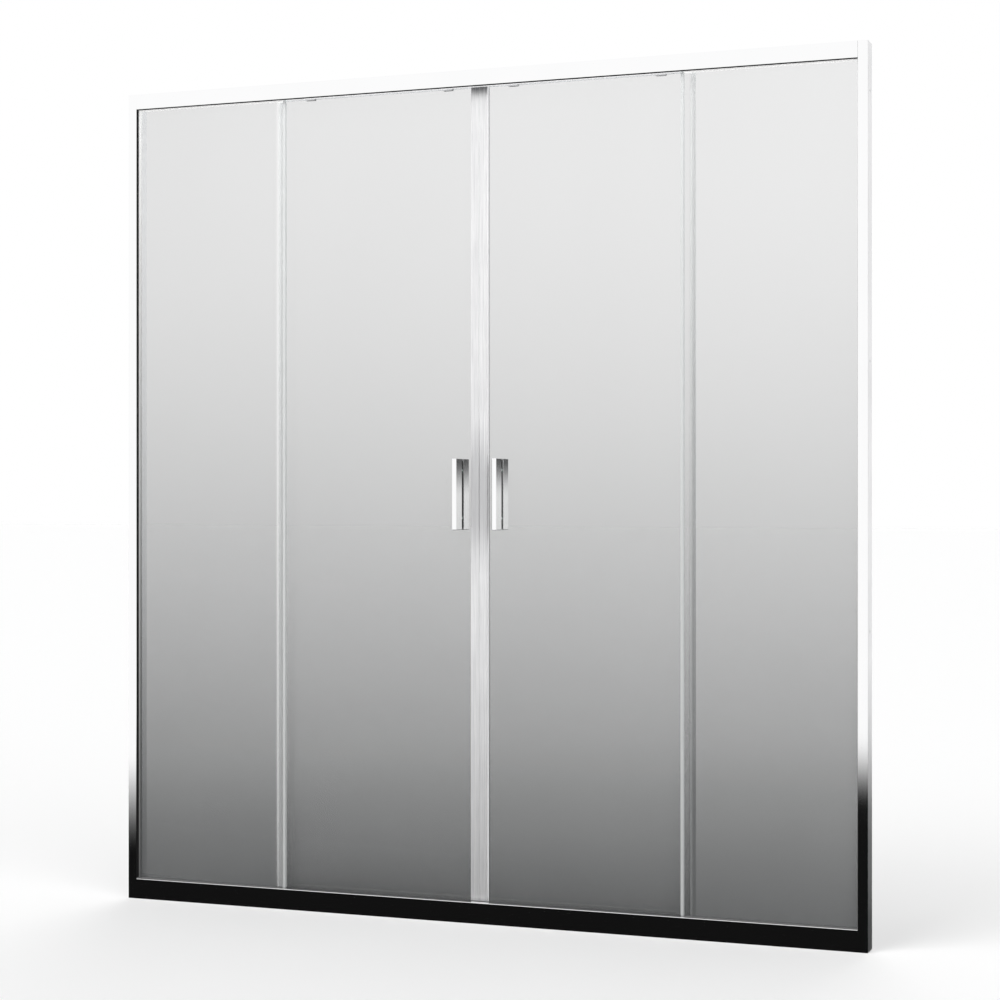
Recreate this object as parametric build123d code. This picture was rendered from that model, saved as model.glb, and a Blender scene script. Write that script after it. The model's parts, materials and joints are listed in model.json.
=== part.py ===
from build123d import *
import os

# A framed sliding shower door for a niche: two fixed panes at the sides and, behind them,
# two doors that hang on wheels and part from the middle.
# Millimetres. X runs along the door, Y into the shower, Z up.
# The origin is the centre of the sill's underside.
# Depths are measured from the frame's front face, towards the shower.

# Overall frame
frame_width = 1800.0
frame_height = 1950.0
frame_depth = 50.0
profile_wall = 2.0
edge_round = 1.2

# Faces seen from the front
head_face = 37.0
sill_face = 48.0
jamb_face = 22.0

# Lines of glass
glass_thickness = 6.0
glass_arris = 0.5
fixed_line = 16.0
door_line = 39.0

# Glazing channel in jambs and rails
channel_width = 10.0
channel_depth = 18.0
jamb_channel_depth = 12.0
channel_rest = 2.0

# Fixed panes and their soft parts
fixed_reach = 416.8
gasket_wall = 1.8
gasket_lip = 2.8
sill_gasket_lip = 1.0
strip_width = 7.0
strip_depth = 9.0
strip_cap_length = 8.0
strip_cap_bevel = 3.0
strip_cap_bevel_run = 1.0
filler_wall = 1.4
filler_leg = 7.0

# Wall profiles
wall_profile_wall = 1.6
wall_profile_reach = 15.0
wall_screw_radius = 2.75
wall_screw_count = 4
wall_screw_pitch = 580.0

# Head track
track_lip_drop = 24.0
track_bead_line = 29.5
track_bead_radius = 1.5
track_bead_lift = 0.5
track_lip_edge = 34.5
rear_skirt_drop = 34.0

# Wheels
wheel_radius = 9.0
wheel_root_radius = 7.5
wheel_width = 6.4
wheel_groove_radius = 1.9
wheel_lift = 0.15
bearing_radius = 5.0
bearing_width = 4.0
axle_radius = 2.5
axle_head_radius = 3.6
axle_head_length = 1.3
axle_shoulder_radius = 3.4
axle_fit = 0.05

# Hangers
hanger_inset = 80.0
hanger_width = 25.0
hanger_height = 10.4
hanger_bridge = 3.0
hanger_leg = 3.1
hanger_leg_bevel = 1.5
hanger_plate = 2.5
hanger_plate_width = 22.0
hanger_neck = 5.0
hanger_screw_radius = 2.0
hanger_screw_spacing = 14.0
hanger_screw_drop = 4.0
hanger_screw_key_radius = 1.0
hanger_screw_key_depth = 1.5

# Doors
door_overlap = 27.2
door_travel = 350.0
door_foot_drop = 18.0
door_bottom = 46.0
door_top_gap = 8.6
meeting_gap = 0.4

# Closing stiles
stile_face = 19.5
stile_depth = 16.0
stile_wall = 1.6
stile_glass_grip = 9.5
magnet_width = 11.0
magnet_thickness = 4.0
magnet_proud = 0.1
foot_drop = 24.0

# Trailing seals
seal_width = 9.0
seal_wall = 1.2
seal_bulb_depth = 7.5
seal_bulb_round = 2.5
seal_lift = 2.0

# Sill guide channel
sill_base_wall = 2.0
sill_step = 8.0
guide_floor = 12.0
guide_front = 31.0
guide_block_length = 40.0
guide_block_gap = 12.0
guide_block_base = 8.0
guide_glass_clearance = 0.8
weep_length = 24.0
weep_height = 5.0
weep_pitch = 400.0
weep_count = 4

# Handles
handle_inset = 48.7
handle_height = 980.0
handle_length = 164.0
handle_width = 11.0
handle_outer_depth = 36.5
handle_inner_depth = 33.5
handle_bevel = 1.0
handle_gasket = 2.5
handle_gasket_width = 8.0
handle_gasket_length = 156.0
handle_bolt_radius = 2.5
handle_bolt_spacing = 110.0
handle_bolt_grip = 14.0
handle_bush_radius = 4.8

# Screws that hold the frame together
port_radius = 3.6
port_bore = 2.1
port_bite = 0.6
frame_screw_radius = 2.0
frame_screw_length = 16.0
frame_screw_head = 2.8
frame_screw_head_height = 2.4
jamb_screw_radius = 1.9
jamb_screw_length = 8.0
jamb_screw_head = 3.6
jamb_screw_head_height = 1.8
jamb_screw_count = 3
jamb_screw_pitch = 700.0
jamb_screw_inset = 12.5
screw_cap_radius = 5.2
screw_cap_height = 2.8
screw_cap_wall = 0.8
stop_length = 20.0
stop_height = 12.0
stop_width = 9.0
stop_nose = 3.0

# Clearances, and how far a cut runs past the face it opens
screw_clearance = 0.2
fit_gap = 0.1
slip_gap = 0.3
overcut = 1.0

# Heights and depths worked out from the sizes above
half_width = frame_width / 2
rail_half = half_width - jamb_face
head_bottom = frame_height - head_face
channel_front = fixed_line - channel_width / 2
channel_back = fixed_line + channel_width / 2
track_lip_top = frame_height - track_lip_drop
bead_top = track_lip_top + track_bead_lift + track_bead_radius
axle_height = bead_top + wheel_lift + wheel_root_radius
sill_deck = sill_face - sill_step
guide_top = guide_floor + profile_wall
guide_back = frame_depth - profile_wall
channel_floor = sill_face - channel_depth
channel_roof = head_bottom + channel_depth
glass_front = door_line - glass_thickness / 2
glass_back = door_line + glass_thickness / 2
door_glass_top = head_bottom + door_top_gap - profile_wall
hanger_top = door_glass_top + slip_gap + hanger_bridge
hanger_bottom = hanger_top - hanger_height
stile_top = head_bottom + profile_wall
stile_front = door_line - stile_depth / 2
strip_edge = -half_width + fixed_reach
trailing_edge = strip_edge - door_overlap
closing_edge = -meeting_gap / 2
handle_x = -handle_inset
wheel_front = track_bead_line - wheel_width / 2
wheel_back = track_bead_line + wheel_width / 2
plate_front = door_line - hanger_plate + fit_gap


def y_at(depth):
    """Frame coordinate of a depth behind the front face."""
    return depth - frame_depth / 2


def block(x_low, x_high, depth_low, depth_high, z_low, z_high):
    """Straight block between two places along X, two depths and two heights."""
    corner = Pos(x_low, y_at(depth_low), z_low)
    size = (x_high - x_low, depth_high - depth_low, z_high - z_low)
    return corner * Box(*size, align=(Align.MIN, Align.MIN, Align.MIN))


def rod_x(x_low, x_high, depth, height, radius):
    """Round rod along X."""
    centre = Pos((x_low + x_high) / 2, y_at(depth), height)
    return centre * Rot(0, 90, 0) * Cylinder(radius, x_high - x_low)


def rod_y(x, depth_low, depth_high, height, radius):
    """Round rod along Y."""
    centre = Pos(x, y_at((depth_low + depth_high) / 2), height)
    return centre * Rot(90, 0, 0) * Cylinder(radius, depth_high - depth_low)


def panel(first_low, first_high, second_low, second_high):
    """Rectangle in a section, given by its two limits each way."""
    centre = Pos((first_low + first_high) / 2, (second_low + second_high) / 2)
    return centre * Rectangle(first_high - first_low, second_high - second_low)


def upright(section, z_low, z_high):
    """Plan section of X against Y, drawn out into a vertical bar."""
    return extrude(Plane.XY.offset(z_low) * section, z_high - z_low)


def rail(section, x_low, x_high):
    """Cross-section of Y against Z, drawn out into a bar along X."""
    return extrude(Plane.YZ.offset(x_low) * section, x_high - x_low)


def rounded(section, corners):
    """Round the corners of a section that lie at the given points."""
    chosen = []
    for corner in corners:
        nearest = section.vertices().sort_by_distance(Vector(corner[0], corner[1], 0))[0]
        chosen.append(nearest)
    return fillet(chosen, edge_round)


def screw_port(depth, height):
    """Tube of a rail's section that takes a screw in its end."""
    place = Pos(y_at(depth), height)
    return place * Circle(port_radius), place * Circle(port_bore)


# Places of the screw ports in the rails: depth and height
port_offset = port_radius - port_bite
head_ports = (
    (profile_wall + port_offset, frame_height - profile_wall - port_offset),
    (guide_back - port_offset, frame_height - profile_wall - port_offset),
)
sill_ports = (
    (profile_wall + port_offset, sill_base_wall + port_offset),
    (door_line, sill_base_wall + port_offset),
)


def joined(section, ports):
    """Add screw ports to a section and open their bores."""
    rings = [screw_port(depth, height) for depth, height in ports]
    for ring, bore in rings:
        section = section + ring
    for ring, bore in rings:
        section = section - bore
    return section


def head_rail():
    """Head rail: fascia, glazing channel, wheel track with its bead, and rear skirt."""
    front = y_at(0)
    back = y_at(frame_depth)
    lip_underside = track_lip_top - profile_wall
    walls = [
        panel(front, front + profile_wall, head_bottom, frame_height),
        panel(front, back, frame_height - profile_wall, frame_height),
        panel(front, y_at(channel_front), head_bottom, head_bottom + profile_wall),
        panel(y_at(channel_front) - profile_wall, y_at(channel_front), head_bottom, channel_roof),
        panel(y_at(channel_back), y_at(channel_back) + profile_wall, head_bottom, channel_roof),
        panel(
            y_at(channel_front) - profile_wall,
            y_at(channel_back) + profile_wall,
            channel_roof,
            channel_roof + profile_wall,
        ),
        panel(y_at(channel_back), y_at(track_lip_edge), lip_underside, track_lip_top),
        panel(back - profile_wall, back, frame_height - rear_skirt_drop, frame_height),
    ]
    section = Sketch() + walls
    bead = Pos(y_at(track_bead_line), track_lip_top + track_bead_lift) * Circle(track_bead_radius)
    section = section + bead
    section = joined(section, head_ports)
    section = rounded(section, [(front, head_bottom), (front, frame_height), (back, frame_height)])
    return rail(section, -rail_half, rail_half)


def sill_rail():
    """Sill rail: front box with the glazing channel, and a lower deck with the guide channel."""
    front = y_at(0)
    back = y_at(frame_depth)
    walls = [
        panel(front, front + profile_wall, 0, sill_face),
        panel(front, back, 0, sill_base_wall),
        panel(front, y_at(channel_front), sill_face - profile_wall, sill_face),
        panel(y_at(channel_front) - profile_wall, y_at(channel_front), channel_floor, sill_face),
        panel(y_at(channel_back), y_at(channel_back) + profile_wall, channel_floor, sill_face),
        panel(
            y_at(channel_front) - profile_wall,
            y_at(channel_back) + profile_wall,
            channel_floor - profile_wall,
            channel_floor,
        ),
        panel(y_at(channel_back), y_at(guide_front), sill_deck - profile_wall, sill_deck),
        panel(y_at(guide_front) - profile_wall, y_at(guide_front), guide_floor, sill_deck),
        panel(y_at(guide_front) - profile_wall, back, guide_floor, guide_top),
        panel(back - profile_wall, back, 0, sill_deck),
    ]
    section = joined(Sketch() + walls, sill_ports)
    section = rounded(section, [(front, sill_face)])
    body = rail(section, -rail_half, rail_half)
    for middle in spread(weep_count, weep_pitch, 0):
        slot = block(
            middle - weep_length / 2,
            middle + weep_length / 2,
            guide_back - overcut,
            frame_depth + overcut,
            guide_top,
            guide_top + weep_height,
        )
        body = body - slot
    return body


def wall_profile():
    """Left wall profile: a channel screwed to the wall, which the jamb slides over."""
    web = -half_width + wall_profile_wall
    tip = -half_width + wall_profile_reach
    near = y_at(profile_wall) + slip_gap
    far = y_at(frame_depth - profile_wall) - slip_gap
    section = Sketch() + [
        panel(-half_width, web, near, far),
        panel(-half_width, tip, near, near + wall_profile_wall),
        panel(-half_width, tip, far - wall_profile_wall, far),
    ]
    body = upright(section, 0, frame_height)
    for height in wall_screw_heights():
        hole = rod_x(-half_width - overcut, web + overcut, frame_depth / 2, height, wall_screw_radius)
        body = body - hole
    for height in jamb_screw_heights():
        place = -half_width + jamb_screw_inset
        low = frame_depth - profile_wall - wall_profile_wall - 2 * slip_gap
        hole = rod_y(place, low, frame_depth, height, jamb_screw_radius + fit_gap)
        body = body - hole
    return body


def spread(count, pitch, middle):
    """Evenly spaced places about a middle."""
    first = middle - pitch * (count - 1) / 2
    return [first + number * pitch for number in range(count)]


def wall_screw_heights():
    """Heights of the holes for the wall screws."""
    return spread(wall_screw_count, wall_screw_pitch, frame_height / 2)


def jamb_screw_heights():
    """Heights of the screws that fix a jamb to its wall profile."""
    return spread(jamb_screw_count, jamb_screw_pitch, frame_height / 2)


def jamb():
    """Left jamb: a box open to the wall, with the glazing channel in its inner side."""
    outer = -half_width + fit_gap
    inner = -rail_half
    floor = inner - jamb_channel_depth
    near = y_at(0)
    far = y_at(frame_depth)
    slot_near = y_at(channel_front)
    slot_far = y_at(channel_back)
    section = Sketch() + [
        panel(outer, inner, near, near + profile_wall),
        panel(outer, inner, far - profile_wall, far),
        panel(inner - profile_wall, inner, near, slot_near),
        panel(inner - profile_wall, inner, slot_far, far),
        panel(floor - profile_wall, inner, slot_near - profile_wall, slot_near),
        panel(floor - profile_wall, inner, slot_far, slot_far + profile_wall),
        panel(floor - profile_wall, floor, slot_near - profile_wall, slot_far + profile_wall),
    ]
    section = rounded(section, [(inner, near), (inner, far)])
    body = upright(section, 0, frame_height)
    for depth, height in head_ports + sill_ports:
        hole = rod_x(
            inner - profile_wall - overcut,
            inner + overcut,
            depth,
            height,
            frame_screw_radius + screw_clearance,
        )
        body = body - hole
    for height in jamb_screw_heights():
        place = -half_width + jamb_screw_inset
        hole = rod_y(
            place,
            frame_depth - profile_wall - overcut,
            frame_depth + overcut,
            height,
            jamb_screw_radius + screw_clearance,
        )
        body = body - hole
    return body


def frame_screws():
    """Left screws that join the rails to the jamb, through it into the rails' ports."""
    web = -rail_half - profile_wall
    screws = []
    for depth, height in head_ports + sill_ports:
        shank = rod_x(web, web + frame_screw_length, depth, height, frame_screw_radius)
        head = rod_x(web - frame_screw_head_height, web, depth, height, frame_screw_head)
        screws.append(shank + head)
    return screws


def jamb_screws():
    """Left screws that fix the jamb to the wall profile, from the shower side."""
    place = -half_width + jamb_screw_inset
    face = frame_depth
    screws = []
    for height in jamb_screw_heights():
        shank = rod_y(place, face - jamb_screw_length, face, height, jamb_screw_radius)
        head = rod_y(place, face, face + jamb_screw_head_height, height, jamb_screw_head)
        screws.append(shank + head)
    return screws


def jamb_screw_caps():
    """Left caps that snap over the jamb screws."""
    place = -half_width + jamb_screw_inset - screw_cap_wall
    face = frame_depth
    caps = []
    for height in jamb_screw_heights():
        shell = rod_y(place, face, face + screw_cap_height, height, screw_cap_radius)
        rim = shell.faces().sort_by(Axis.Y)[-1].edges()
        shell = chamfer(rim, screw_cap_wall)
        room = rod_y(
            place,
            face,
            face + screw_cap_height - screw_cap_wall,
            height,
            screw_cap_radius - screw_cap_wall,
        )
        caps.append(shell - room)
    return caps


def fixed_glass():
    """Left fixed pane, held in the jamb and the two rails."""
    pane = block(
        -rail_half - jamb_channel_depth + channel_rest,
        strip_edge - filler_wall - fit_gap,
        fixed_line - glass_thickness / 2,
        fixed_line + glass_thickness / 2,
        channel_floor + channel_rest,
        channel_roof - channel_rest,
    )
    return chamfer(pane.edges(), glass_arris)


def glazing_gasket():
    """Left gasket: a soft channel round the pane's three held edges."""
    near = fixed_line - glass_thickness / 2 - gasket_wall
    far = fixed_line + glass_thickness / 2 + gasket_wall
    left = -rail_half - jamb_channel_depth + fit_gap
    right = strip_edge - strip_width - slip_gap
    outside = block(left, right, near, far, channel_floor, channel_roof - fit_gap)
    window = block(
        -rail_half + gasket_lip,
        right + overcut,
        near - overcut,
        far + overcut,
        sill_face + sill_gasket_lip,
        head_bottom - gasket_lip,
    )
    room = block(
        left + channel_rest - fit_gap,
        right + overcut,
        fixed_line - glass_thickness / 2,
        fixed_line + glass_thickness / 2,
        channel_floor + channel_rest,
        channel_roof - channel_rest,
    )
    return outside - window - room


def strip_section(wall, half):
    """Channel that clips on the free edge of a fixed pane."""
    near = y_at(fixed_line) - half
    far = y_at(fixed_line) + half
    outside = panel(strip_edge - strip_width, strip_edge, near, far)
    outside = rounded(outside, [(strip_edge, near), (strip_edge, far)])
    room = panel(
        strip_edge - strip_width - overcut,
        strip_edge - wall,
        y_at(fixed_line) - glass_thickness / 2 - fit_gap,
        y_at(fixed_line) + glass_thickness / 2 + fit_gap,
    )
    return outside - room


def strip_limits():
    """Heights between which the edge strip and its two end caps stand."""
    return sill_face + slip_gap, head_bottom - slip_gap


def edge_strip():
    """Left edge strip, between its end caps."""
    low, high = strip_limits()
    section = strip_section(filler_wall, strip_depth / 2)
    return upright(section, low + strip_cap_length, high - strip_cap_length)


def edge_strip_caps():
    """Left end caps of the edge strip, bevelled on the side of the doorway."""
    low, high = strip_limits()
    section = strip_section(filler_wall, strip_depth / 2 + slip_gap)
    caps = []
    for z_low, face in ((low, 0), (high - strip_cap_length, -1)):
        cap = upright(section, z_low, z_low + strip_cap_length)
        side = cap.faces().filter_by(Axis.X).sort_by(Axis.X)[-1]
        edge = side.edges().filter_by(Axis.Y).sort_by(Axis.Z)[face]
        caps.append(chamfer(edge, strip_cap_bevel, strip_cap_bevel_run))
    return caps


def filler(z_face, direction):
    """Cover strip that closes a rail's glazing channel across the doorway."""
    reach = -strip_edge - slip_gap
    near = y_at(channel_front) + fit_gap
    far = y_at(channel_back) - fit_gap
    inside = z_face + direction * filler_wall
    tip = z_face + direction * filler_leg
    section = Sketch() + [
        panel(near, far, min(z_face, inside), max(z_face, inside)),
        panel(near, near + filler_wall, min(z_face, tip), max(z_face, tip)),
        panel(far - filler_wall, far, min(z_face, tip), max(z_face, tip)),
    ]
    return rail(section, -reach, reach)


def travel_stop():
    """Left stop that straddles the track's bead and ends the door's travel."""
    face = trailing_edge + hanger_inset - wheel_radius - door_travel - slip_gap
    near = y_at(track_bead_line) - stop_width / 2
    far = y_at(track_bead_line) + stop_width / 2
    section = panel(near, far, track_lip_top, track_lip_top + stop_height)
    room = Pos(y_at(track_bead_line), track_lip_top + track_bead_lift) * Circle(
        track_bead_radius + fit_gap
    )
    slot = panel(
        y_at(track_bead_line) - track_bead_radius - fit_gap,
        y_at(track_bead_line) + track_bead_radius + fit_gap,
        track_lip_top,
        track_lip_top + track_bead_lift,
    )
    body = rail(section - room - slot, face - stop_length, face)
    nose = body.faces().sort_by(Axis.X)[-1].edges().sort_by(Axis.Z)[-1]
    return chamfer(nose, stop_nose)


def bottom_guide():
    """Left guide block in the sill's channel, grooved for the door's glass."""
    start = trailing_edge + guide_block_gap
    section = panel(
        y_at(guide_front) + fit_gap, y_at(guide_back) - fit_gap, guide_top, sill_deck - profile_wall
    )
    groove = panel(
        y_at(glass_front) - guide_glass_clearance,
        y_at(glass_back) + guide_glass_clearance,
        guide_top + guide_block_base,
        sill_deck,
    )
    return rail(section - groove, start, start + guide_block_length)


def door_glass():
    """Left door's pane, drilled for its handle."""
    pane = block(
        trailing_edge + seal_wall + fit_gap,
        closing_edge - stile_face + stile_glass_grip,
        glass_front,
        glass_back,
        door_bottom - door_foot_drop,
        door_glass_top,
    )
    pane = chamfer(pane.edges(), glass_arris)
    bore = handle_bush_radius + fit_gap
    for height in handle_bolt_heights():
        pane = pane - rod_y(handle_x, glass_front - overcut, glass_back + overcut, height, bore)
    return pane


def closing_stile():
    """Left closing stile, with a pocket for the glass and one for the magnet."""
    back = closing_edge - stile_face
    near = y_at(stile_front)
    far = y_at(stile_front + stile_depth)
    section = panel(back, closing_edge, near, far)
    corners = [(back, near), (back, far), (closing_edge, near), (closing_edge, far)]
    section = rounded(section, corners)
    glass_room = panel(
        back - overcut,
        back + stile_glass_grip + fit_gap,
        y_at(glass_front) - fit_gap,
        y_at(glass_back) + fit_gap,
    )
    magnet_room = panel(
        closing_edge - magnet_thickness - fit_gap,
        closing_edge + overcut,
        y_at(door_line) - magnet_width / 2 - fit_gap,
        y_at(door_line) + magnet_width / 2 + fit_gap,
    )
    return upright(section - glass_room - magnet_room, door_bottom, stile_top)


def magnet_strip():
    """Left magnetic strip in the closing stile."""
    section = panel(
        closing_edge - magnet_thickness,
        closing_edge + magnet_proud,
        y_at(door_line) - magnet_width / 2,
        y_at(door_line) + magnet_width / 2,
    )
    return upright(section, door_bottom, stile_top)


def stile_foot():
    """Left foot: a block under the stile that runs in the sill's guide channel."""
    back = closing_edge - stile_face
    low = door_bottom - foot_drop
    body = block(
        back,
        closing_edge - fit_gap,
        guide_front + 2 * slip_gap,
        guide_back - 2 * slip_gap,
        low,
        sill_deck - profile_wall,
    )
    neck = block(
        back + stile_wall,
        closing_edge - stile_wall,
        stile_front + stile_wall,
        stile_front + stile_depth - stile_wall,
        low,
        door_bottom,
    )
    room = block(
        back - overcut,
        back + stile_glass_grip + fit_gap,
        glass_front - fit_gap,
        glass_back + fit_gap,
        door_bottom - door_foot_drop - fit_gap,
        door_bottom + overcut,
    )
    return body + neck - room


def trailing_seal():
    """Left trailing seal: a clip on the glass with a hollow bulb towards the fixed pane."""
    grip_front = y_at(glass_front) - seal_wall - fit_gap
    grip_back = y_at(glass_back) + seal_wall + fit_gap
    clip = panel(trailing_edge, trailing_edge + seal_width, grip_front, grip_back)
    room = panel(
        trailing_edge + seal_wall,
        trailing_edge + seal_width + overcut,
        y_at(glass_front) - fit_gap,
        y_at(glass_back) + fit_gap,
    )
    bulb_middle = Pos(trailing_edge + seal_width / 2, grip_front - seal_bulb_depth / 2 + seal_wall / 2)
    bulb_size = (seal_width, seal_bulb_depth + seal_wall)
    bulb = bulb_middle * RectangleRounded(*bulb_size, seal_bulb_round)
    hollow_size = (seal_width - 2 * seal_wall, seal_bulb_depth - seal_wall)
    hollow = bulb_middle * RectangleRounded(*hollow_size, seal_bulb_round - seal_wall)
    section = clip + bulb - hollow - room
    return upright(section, sill_deck + seal_lift, stile_top)


def hanger_places():
    """Places along X of the left door's outer and inner hangers."""
    return trailing_edge + hanger_inset, closing_edge - hanger_inset


def hanger(x):
    """Hanger: a clamp on the top edge of the glass, with a plate that carries the axle."""
    half = hanger_width / 2
    clamp = block(
        x - half,
        x + half,
        glass_front - fit_gap - hanger_leg,
        glass_back + fit_gap + hanger_leg,
        hanger_bottom,
        hanger_top,
    )
    room = block(
        x - half - overcut,
        x + half + overcut,
        glass_front - fit_gap,
        glass_back + fit_gap,
        hanger_bottom - overcut,
        door_glass_top + slip_gap,
    )
    ends = clamp.edges().filter_by(Axis.Y).sort_by(Axis.Z)[:2]
    clamp = chamfer(ends, hanger_leg_bevel)
    plate = block(
        x - hanger_plate_width / 2,
        x + hanger_plate_width / 2,
        plate_front,
        plate_front + hanger_plate,
        hanger_top,
        axle_height,
    )
    crown = rod_y(x, plate_front, plate_front + hanger_plate, axle_height, hanger_neck)
    shoulders = plate.edges().filter_by(Axis.Y).sort_by(Axis.Z)[-2:]
    plate = chamfer(shoulders, hanger_plate_width / 2 - hanger_neck)
    body = clamp - room + plate + crown
    body = body - rod_y(x, plate_front - overcut, frame_depth, axle_height, axle_radius + fit_gap)
    for side in (-1, 1):
        place = x + side * hanger_screw_spacing / 2
        height = hanger_bottom + hanger_screw_drop
        low = glass_back + fit_gap
        hole = rod_y(place, low - overcut, frame_depth, height, hanger_screw_radius + fit_gap)
        body = body - hole
    return body


def hanger_axle(x):
    """Axle riveted in the hanger's plate: head, bearing seat, shoulder and tail."""
    head_back = wheel_front - slip_gap
    head = rod_y(x, head_back - axle_head_length, head_back, axle_height, axle_head_radius)
    seat = rod_y(x, head_back, plate_front + hanger_plate, axle_height, axle_radius)
    shoulder = rod_y(x, wheel_back + slip_gap, plate_front, axle_height, axle_shoulder_radius)
    tail_face = plate_front + hanger_plate
    tail = rod_y(x, tail_face, tail_face + axle_head_length, axle_height, axle_shoulder_radius)
    return head + seat + shoulder + tail


def hanger_clamp_screws(x):
    """Set screws that clamp a hanger on the glass, from the shower side."""
    screws = []
    for side in (-1, 1):
        place = x + side * hanger_screw_spacing / 2
        height = hanger_bottom + hanger_screw_drop
        start = glass_back + fit_gap
        end = start + hanger_leg + slip_gap
        screw = rod_y(place, start, end, height, hanger_screw_radius)
        floor = end - hanger_screw_key_depth
        key_hole = rod_y(place, floor, end + overcut, height, hanger_screw_key_radius)
        screws.append(screw - key_hole)
    return screws


def wheel_tyre(x):
    """Grooved tyre that runs on the track's bead."""
    half = wheel_width / 2
    bore = bearing_radius + fit_gap / 2
    section = panel(bore, wheel_radius, -half, half)
    groove = Pos(wheel_root_radius + wheel_groove_radius, 0) * Circle(wheel_groove_radius)
    turned = revolve(Plane.XZ * (section - groove), Axis.Z)
    place = Pos(x, y_at(track_bead_line), axle_height) * Rot(90, 0, 0)
    return place * turned


def wheel_bearing(x):
    """Bearing in the tyre, with its shields set back between the two rings."""
    half = bearing_width / 2
    bore = axle_radius + axle_fit
    ring = (bearing_radius - bore) / 3
    recess = ring / 3
    section = panel(bore, bearing_radius, -half, half)
    for side in (-1, 1):
        shield = panel(
            bore + ring,
            bearing_radius - ring,
            min(side * half, side * (half - recess)),
            max(side * half, side * (half - recess)),
        )
        section = section - shield
    turned = revolve(Plane.XZ * section, Axis.Z)
    place = Pos(x, y_at(track_bead_line), axle_height) * Rot(90, 0, 0)
    return place * turned


def handle_bolt_heights():
    """Heights of the two bolts of a handle."""
    return spread(2, handle_bolt_spacing, handle_height)


def handle_bar(depth_low, depth_high):
    """Flat pull bar with bevelled edges, bored for its bolts from the glass side."""
    half = handle_width / 2
    low = handle_height - handle_length / 2
    bar = block(handle_x - half, handle_x + half, depth_low, depth_high, low, low + handle_length)
    bar = chamfer(bar.edges(), handle_bevel)
    outer = depth_low < door_line
    near = depth_high - handle_bolt_grip if outer else depth_low - overcut
    far = depth_high + overcut if outer else depth_low + handle_bolt_grip
    for height in handle_bolt_heights():
        bar = bar - rod_y(handle_x, near, far, height, handle_bolt_radius + fit_gap)
    return bar


def handle_outer():
    """Left door's handle bar on the room side."""
    face = glass_front - handle_gasket
    return handle_bar(face - handle_outer_depth, face)


def handle_inner():
    """Left door's handle bar on the shower side."""
    face = glass_back + handle_gasket
    return handle_bar(face, face + handle_inner_depth)


def handle_gaskets():
    """Left handle's two gaskets, between the bars and the glass."""
    half = handle_gasket_width / 2
    low = handle_height - handle_gasket_length / 2
    high = low + handle_gasket_length
    bore = handle_bolt_radius + fit_gap
    pads = []
    for near in (glass_front - handle_gasket, glass_back):
        far = near + handle_gasket
        pad = block(handle_x - half, handle_x + half, near, far, low, high)
        for height in handle_bolt_heights():
            pad = pad - rod_y(handle_x, near - overcut, far + overcut, height, bore)
        pads.append(pad)
    return pads


def handle_bolts():
    """Left handle's two bolts, from bar to bar through the glass."""
    near = glass_front - handle_gasket - handle_bolt_grip + slip_gap
    far = glass_back + handle_gasket + handle_bolt_grip - slip_gap
    bolts = []
    for height in handle_bolt_heights():
        bolts.append(rod_y(handle_x, near, far, height, handle_bolt_radius))
    return bolts


def handle_bushes():
    """Bushes that keep the handle's bolts off the glass."""
    bore = handle_bolt_radius + fit_gap
    bushes = []
    for height in handle_bolt_heights():
        outside = rod_y(handle_x, glass_front, glass_back, height, handle_bush_radius)
        inside = rod_y(handle_x, glass_front - overcut, glass_back + overcut, height, bore)
        bushes.append(outside - inside)
    return bushes


def mirrored(solids):
    """Right-hand copies of left-hand solids."""
    return [mirror(solid, about=Plane.YZ) for solid in solids]


def save(node, solids):
    """Write one node as a STEP file."""
    shape = solids[0] if len(solids) == 1 else Compound(solids)
    export_step(shape, f"parts/{node}.step")


def save_pair(node, solids):
    """Write a left-hand node and its right-hand twin."""
    save(f"{node}_left", solids)
    save(f"{node}_right", mirrored(solids))


def save_both(node, solids):
    """Write one node that holds the left-hand pieces and their twins."""
    save(node, solids + mirrored(solids))


def save_frame():
    """Write everything that stays with the wall."""
    save("head_rail", [head_rail()])
    save("sill_rail", [sill_rail()])
    save("head_filler", [filler(head_bottom, 1)])
    save("sill_filler", [filler(sill_face, -1)])
    save_pair("wall_profile", [wall_profile()])
    save_pair("jamb", [jamb()])
    save_pair("fixed_glass", [fixed_glass()])
    save_pair("glazing_gasket", [glazing_gasket()])
    save_pair("edge_strip", [edge_strip()])
    save_both("edge_strip_caps", edge_strip_caps())
    save_both("frame_screws", frame_screws())
    save_both("jamb_screws", jamb_screws())
    save_both("jamb_screw_caps", jamb_screw_caps())
    save_both("travel_stops", [travel_stop()])
    save_both("bottom_guides", [bottom_guide()])


def save_doors():
    """Write the two doors, which slide apart."""
    save_pair("door_glass", [door_glass()])
    save_pair("closing_stile", [closing_stile()])
    save_pair("magnet_strip", [magnet_strip()])
    save_pair("stile_foot", [stile_foot()])
    save_pair("trailing_seal", [trailing_seal()])
    save_pair("handle_outer", [handle_outer()])
    save_pair("handle_inner", [handle_inner()])
    save_pair("handle_gaskets", handle_gaskets())
    save_pair("handle_bolts", handle_bolts())
    save_pair("handle_bushes", handle_bushes())
    places = hanger_places()
    save_pair("hanger_axles", [hanger_axle(x) for x in places])
    save_pair("hanger_screws", [screw for x in places for screw in hanger_clamp_screws(x)])
    for name, x in zip(("outer", "inner"), places):
        save_pair(f"hanger_{name}", [hanger(x)])
        save_pair(f"wheel_tyre_{name}", [wheel_tyre(x)])
        save_pair(f"wheel_bearing_{name}", [wheel_bearing(x)])


os.makedirs("parts", exist_ok=True)
save_frame()
save_doors()
print("wheel turns", round(1000 / wheel_root_radius, 4), "rad per metre of travel")
print("axle height", axle_height, "hanger places", hanger_places())
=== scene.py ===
"""Looks of a framed sliding shower door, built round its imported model."""

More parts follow.
